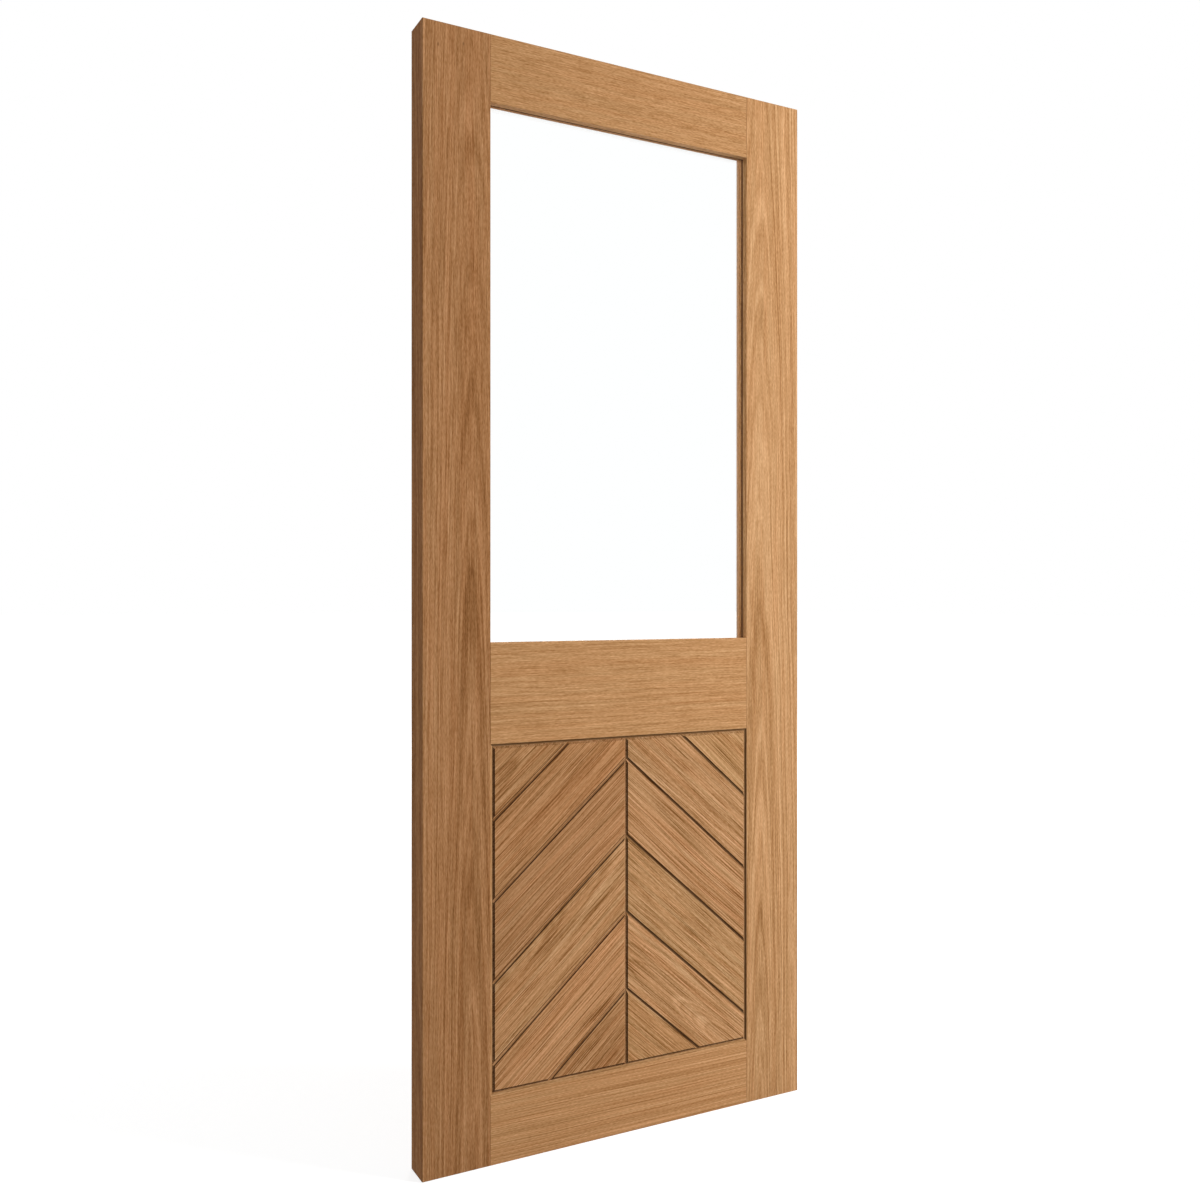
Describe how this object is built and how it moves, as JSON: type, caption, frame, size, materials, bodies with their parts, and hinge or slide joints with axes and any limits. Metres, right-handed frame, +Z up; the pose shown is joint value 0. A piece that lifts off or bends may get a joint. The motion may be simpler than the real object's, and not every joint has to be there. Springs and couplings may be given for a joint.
{
  "type": "glazed interior door leaf",
  "caption": "Oak interior door leaf: stiles and rails round a clear glazed upper light and a lower panel of V-jointed boards laid in upward chevrons.",
  "frame": {"origin": "foot of the hinge edge, in the middle of the leaf's thickness", "axes": "+X across the leaf from the hinge edge to the lock edge, +Y from the front face to the back, +Z up"},
  "size_m": [0.838, 0.044, 1.981],
  "materials": {
    "oak_stile": "matt lacquered oak",
    "oak_rail": "matt lacquered oak",
    "oak_board": "matt lacquered oak",
    "oak_lipping": "matt lacquered oak",
    "oak_bead": "matt lacquered oak",
    "core_board": "bare fibre board",
    "clear_glass": "clear toughened glass",
    "glazing_gasket": "matt dark brown rubber"
  },
  "bodies": {
    "root": {"back_left_board_1": "oak_board", "back_left_board_2": "oak_board", "back_left_board_3": "oak_board", "back_left_board_4": "oak_board", "back_left_board_5": "oak_board", "back_left_board_6": "oak_board", "back_right_board_1": "oak_board", "back_right_board_2": "oak_board", "back_right_board_3": "oak_board", "back_right_board_4": "oak_board", "back_right_board_5": "oak_board", "back_right_board_6": "oak_board", "bottom_gasket": "glazing_gasket", "bottom_glazing_bead": "oak_bead", "bottom_panel_lipping": "oak_lipping", "bottom_rail": "oak_rail", "front_left_board_1": "oak_board", "front_left_board_2": "oak_board", "front_left_board_3": "oak_board", "front_left_board_4": "oak_board", "front_left_board_5": "oak_board", "front_left_board_6": "oak_board", "front_right_board_1": "oak_board", "front_right_board_2": "oak_board", "front_right_board_3": "oak_board", "front_right_board_4": "oak_board", "front_right_board_5": "oak_board", "front_right_board_6": "oak_board", "glass_pane": "clear_glass", "left_gasket": "glazing_gasket", "left_glazing_bead": "oak_bead", "left_panel_lipping": "oak_lipping", "left_stile": "oak_stile", "middle_rail": "oak_rail", "panel_core": "core_board", "right_gasket": "glazing_gasket", "right_glazing_bead": "oak_bead", "right_panel_lipping": "oak_lipping", "right_stile": "oak_stile", "top_gasket": "glazing_gasket", "top_glazing_bead": "oak_bead", "top_panel_lipping": "oak_lipping", "top_rail": "oak_rail"}
  },
  "joints": []
}
